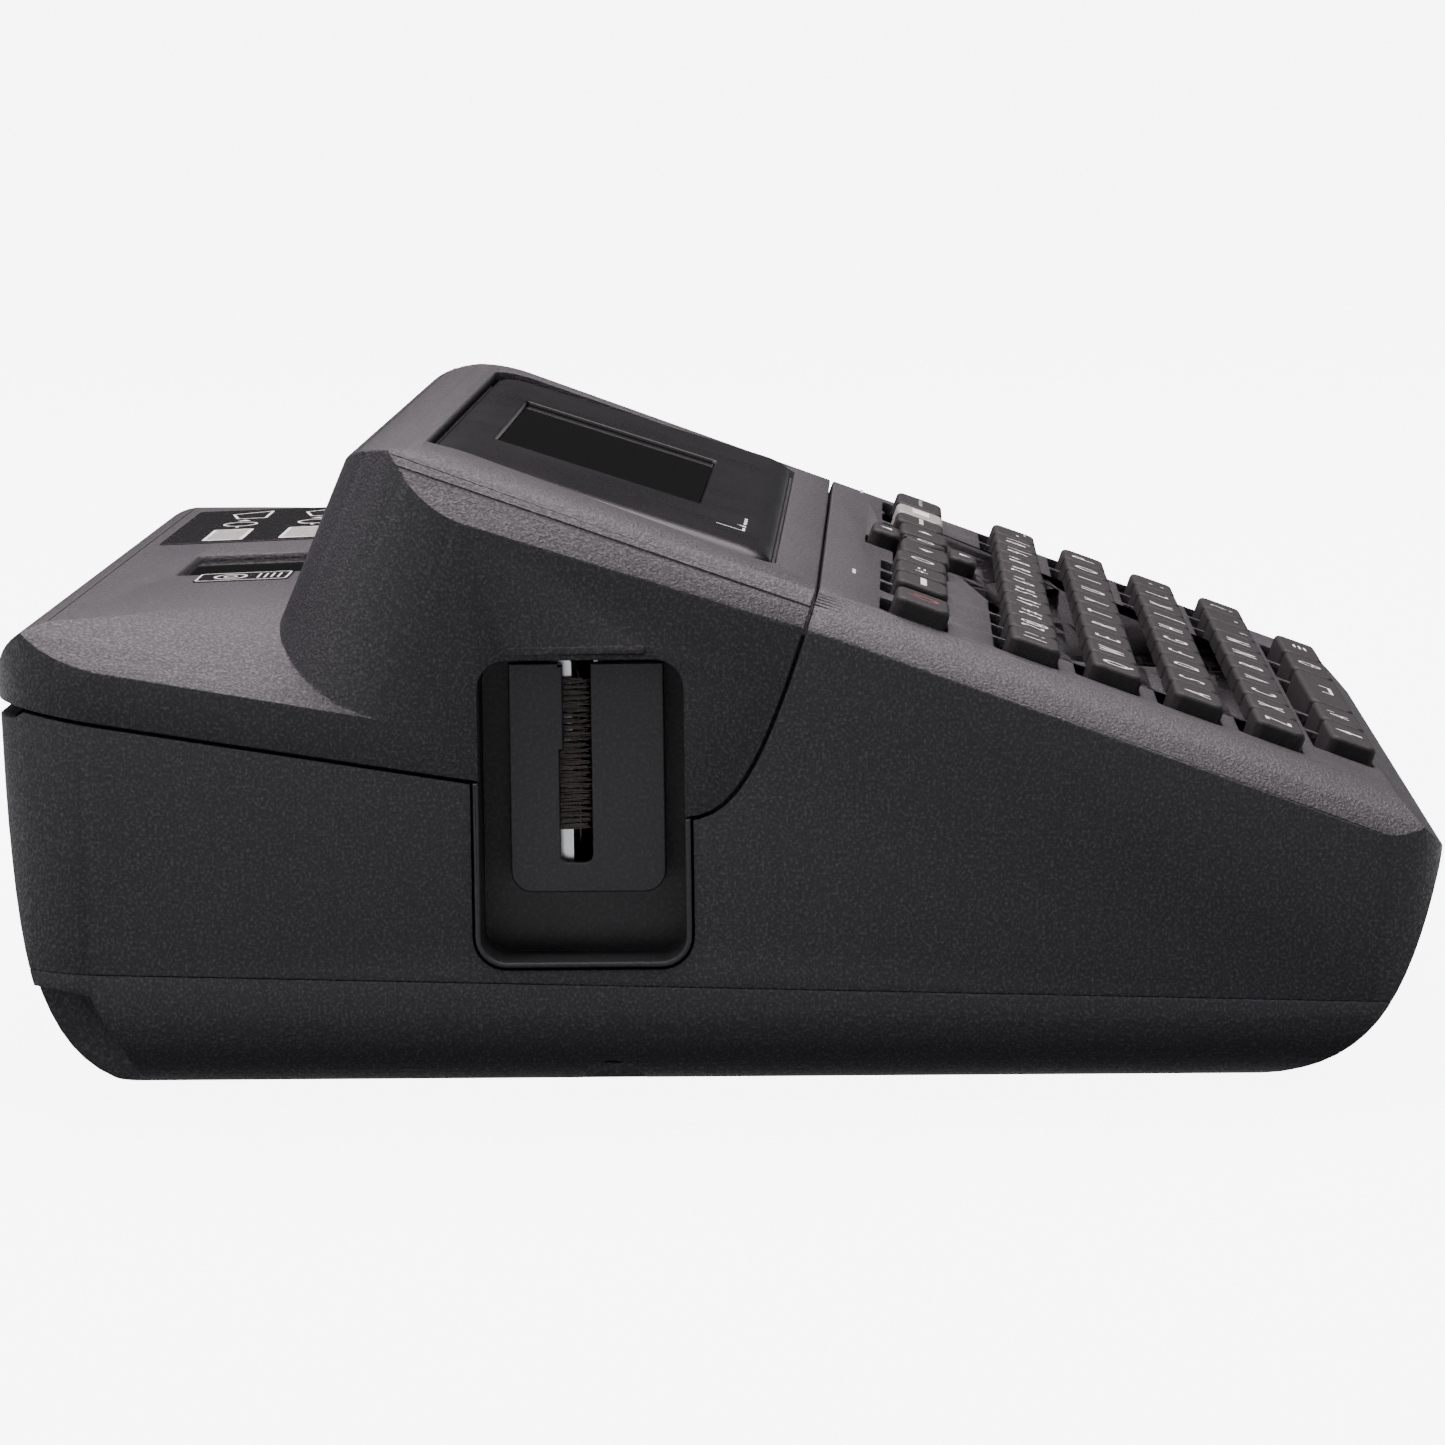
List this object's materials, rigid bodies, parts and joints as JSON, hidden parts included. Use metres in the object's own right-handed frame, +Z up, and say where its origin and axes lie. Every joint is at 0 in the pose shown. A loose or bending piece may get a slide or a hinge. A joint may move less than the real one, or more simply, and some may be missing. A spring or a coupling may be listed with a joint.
{
  "type": "label maker",
  "caption": "Desktop label maker with a sloping keyboard, a hinged cover holding the display, and a side tape exit.",
  "frame": {"origin": "middle of the bounding box at the underside of the rubber feet", "axes": "+X to the user's right, +Y to the rear, +Z up"},
  "size_m": [0.192, 0.2, 0.0903],
  "materials": {
    "charcoal_abs": "fine moulded texture",
    "bezel_abs": "satin",
    "window_acrylic": "gloss",
    "label_vinyl": "satin print",
    "key_rubber": "soft matt",
    "grey_key_rubber": "soft matt",
    "inner_abs": "smooth moulded",
    "brush_fibre": "bristles",
    "plated_steel": "rolled",
    "galvanised_sheet": "rolled",
    "acetal": "moulded",
    "brass_gear": "cut",
    "platen_rubber": "ground",
    "head_ceramic": "glazed",
    "arm_aluminium": "cast",
    "circuit_board": "solder mask",
    "lcd_glass": "gloss",
    "cassette_plastic": "moulded",
    "tape_film": "film",
    "ribbon_film": "film",
    "foot_rubber": "matt",
    "socket_plastic": "moulded"
  },
  "bodies": {
    "housing": {"base_shell": "charcoal_abs", "upper_housing": "charcoal_abs", "exit_pocket": "inner_abs", "exit_guide": "bezel_abs", "brush_strip": "brush_fibre", "fixed_blade": "plated_steel", "drive_motor": "plated_steel", "label_tape": "tape_film", "cassette_case": "cassette_plastic", "cassette_lid": "cassette_plastic", "chassis_plate": "galvanised_sheet", "shaft_pins": "plated_steel", "main_board": "circuit_board", "keyboard_board": "circuit_board", "key_mat": "key_rubber", "battery_contacts": "plated_steel", "usb_socket": "plated_steel", "dc_jack": "socket_plastic", "hinge_pins": "plated_steel", "rubber_feet": "foot_rubber", "case_screws": "plated_steel"},
    "cover": {"cover_shell": "charcoal_abs", "display_bezel": "bezel_abs", "display_lens": "window_acrylic", "lcd_panel": "lcd_glass", "display_board": "circuit_board", "cassette_window": "window_acrylic", "instruction_label": "label_vinyl", "window_sticker": "label_vinyl"},
    "battery_cover": {"battery_door": "charcoal_abs"},
    "cutter": {"cutter_blade": "plated_steel", "cutter_carriage": "inner_abs"},
    "head_holder": {"head_arm": "arm_aluminium", "print_head": "head_ceramic"},
    "platen": {"platen_roller": "platen_rubber", "platen_gear": "acetal"},
    "idler": {"idler_gear": "acetal"},
    "pinion": {"motor_pinion": "brass_gear"},
    "spindle": {"drive_spindle": "acetal", "ribbon_spool": "ribbon_film"},
    "tape_supply": {"tape_roll": "tape_film"},
    "key_row_1": {"key_row_1": "key_rubber"},
    "key_row_2": {"key_row_2": "key_rubber"},
    "key_row_3": {"key_row_3": "key_rubber"},
    "key_row_4": {"key_row_4": "key_rubber"},
    "shift_key": {"shift_key": "key_rubber"},
    "accent_key": {"accent_key": "key_rubber"},
    "space_bar": {"space_bar": "key_rubber"},
    "symbol_key": {"symbol_key": "key_rubber"},
    "mode_key": {"mode_key": "key_rubber"},
    "power_key": {"power_key": "key_rubber"},
    "function_key_1": {"function_key_1": "key_rubber"},
    "function_key_2": {"function_key_2": "key_rubber"},
    "function_key_3": {"function_key_3": "key_rubber"},
    "nav_pad": {"nav_pad": "key_rubber"},
    "ok_key": {"ok_key": "key_rubber"},
    "function_key_4": {"function_key_4": "key_rubber"},
    "print_key": {"print_key": "grey_key_rubber"},
    "clear_key": {"clear_key": "key_rubber"}
  },
  "joints": [
    {"name": "cover_hinge", "type": "hinge", "parent": "housing", "child": "cover", "pos_m": [0, 0.0976, 0.0566], "axis": [-1, 0, 0], "range_deg": [0, 75]},
    {"name": "battery_door_hinge", "type": "hinge", "parent": "housing", "child": "battery_cover", "pos_m": [0, -0.0702, 0.0026], "axis": [1, 0, 0], "range_deg": [-90, 0]},
    {"name": "cutter_slide", "type": "slide", "parent": "housing", "child": "cutter", "axis": [0, 1, 0], "range_m": [0, 0.006], "stiffness_N_per_m": 150},
    {"name": "head_release", "type": "hinge", "parent": "housing", "child": "head_holder", "pos_m": [-0.076, 0.025, 0.045], "axis": [0, 0, 1], "range_deg": [0, 8], "stiffness_Nm_per_rad": 0.4},
    {"name": "idler_spin", "type": "hinge", "parent": "housing", "child": "idler", "pos_m": [-0.04733, 0.02112, 0.0245], "axis": [0, 0, 1], "continuous": true},
    {"name": "platen_spin", "type": "hinge", "parent": "housing", "child": "platen", "pos_m": [-0.068, 0.0136, 0.045], "axis": [0, 0, 1], "continuous": true},
    {"name": "pinion_spin", "type": "hinge", "parent": "housing", "child": "pinion", "pos_m": [-0.02665, 0.01748, 0.0245], "axis": [0, 0, 1], "continuous": true},
    {"name": "spindle_spin", "type": "hinge", "parent": "housing", "child": "spindle", "pos_m": [-0.04111, 0.04431, 0.045], "axis": [0, 0, 1], "continuous": true},
    {"name": "tape_roll_spin", "type": "hinge", "parent": "housing", "child": "tape_supply", "pos_m": [0, 0.048, 0.046], "axis": [0, 0, 1], "continuous": true},
    {"name": "key_row_1_press", "type": "slide", "parent": "housing", "child": "key_row_1", "axis": [0, 0.3469, -0.9379], "range_m": [0, 0.0015], "stiffness_N_per_m": 1500},
    {"name": "key_row_2_press", "type": "slide", "parent": "housing", "child": "key_row_2", "axis": [0, 0.3469, -0.9379], "range_m": [0, 0.0015], "stiffness_N_per_m": 1500},
    {"name": "key_row_3_press", "type": "slide", "parent": "housing", "child": "key_row_3", "axis": [0, 0.3469, -0.9379], "range_m": [0, 0.0015], "stiffness_N_per_m": 1500},
    {"name": "key_row_4_press", "type": "slide", "parent": "housing", "child": "key_row_4", "axis": [0, 0.3469, -0.9379], "range_m": [0, 0.0015], "stiffness_N_per_m": 1500},
    {"name": "shift_key_press", "type": "slide", "parent": "housing", "child": "shift_key", "axis": [0, 0.3469, -0.9379], "range_m": [0, 0.0015], "stiffness_N_per_m": 400},
    {"name": "accent_key_press", "type": "slide", "parent": "housing", "child": "accent_key", "axis": [0, 0.3469, -0.9379], "range_m": [0, 0.0015], "stiffness_N_per_m": 400},
    {"name": "space_bar_press", "type": "slide", "parent": "housing", "child": "space_bar", "axis": [0, 0.3469, -0.9379], "range_m": [0, 0.0015], "stiffness_N_per_m": 400},
    {"name": "symbol_key_press", "type": "slide", "parent": "housing", "child": "symbol_key", "axis": [0, 0.3469, -0.9379], "range_m": [0, 0.0015], "stiffness_N_per_m": 400},
    {"name": "mode_key_press", "type": "slide", "parent": "housing", "child": "mode_key", "axis": [0, 0.3469, -0.9379], "range_m": [0, 0.0015], "stiffness_N_per_m": 400},
    {"name": "power_key_press", "type": "slide", "parent": "housing", "child": "power_key", "axis": [0, 0.3469, -0.9379], "range_m": [0, 0.0015], "stiffness_N_per_m": 400},
    {"name": "function_key_1_press", "type": "slide", "parent": "housing", "child": "function_key_1", "axis": [0, 0.3469, -0.9379], "range_m": [0, 0.0015], "stiffness_N_per_m": 400},
    {"name": "function_key_2_press", "type": "slide", "parent": "housing", "child": "function_key_2", "axis": [0, 0.3469, -0.9379], "range_m": [0, 0.0015], "stiffness_N_per_m": 400},
    {"name": "function_key_3_press", "type": "slide", "parent": "housing", "child": "function_key_3", "axis": [0, 0.3469, -0.9379], "range_m": [0, 0.0015], "stiffness_N_per_m": 400},
    {"name": "nav_pad_press", "type": "slide", "parent": "housing", "child": "nav_pad", "axis": [0, 0.3469, -0.9379], "range_m": [0, 0.0015], "stiffness_N_per_m": 400},
    {"name": "ok_key_press", "type": "slide", "parent": "housing", "child": "ok_key", "axis": [0, 0.3469, -0.9379], "range_m": [0, 0.0015], "stiffness_N_per_m": 400},
    {"name": "function_key_4_press", "type": "slide", "parent": "housing", "child": "function_key_4", "axis": [0, 0.3469, -0.9379], "range_m": [0, 0.0015], "stiffness_N_per_m": 400},
    {"name": "print_key_press", "type": "slide", "parent": "housing", "child": "print_key", "axis": [0, 0.3469, -0.9379], "range_m": [0, 0.0015], "stiffness_N_per_m": 400},
    {"name": "clear_key_press", "type": "slide", "parent": "housing", "child": "clear_key", "axis": [0, 0.3469, -0.9379], "range_m": [0, 0.0015], "stiffness_N_per_m": 400}
  ],
  "couplings": [
    {"joint": "platen_spin", "follows": "idler_spin", "ratio": -2.1429},
    {"joint": "pinion_spin", "follows": "idler_spin", "ratio": -2.5},
    {"joint": "spindle_spin", "follows": "idler_spin", "ratio": -1.6667},
    {"joint": "tape_roll_spin", "follows": "idler_spin", "ratio": 0.57857}
  ]
}
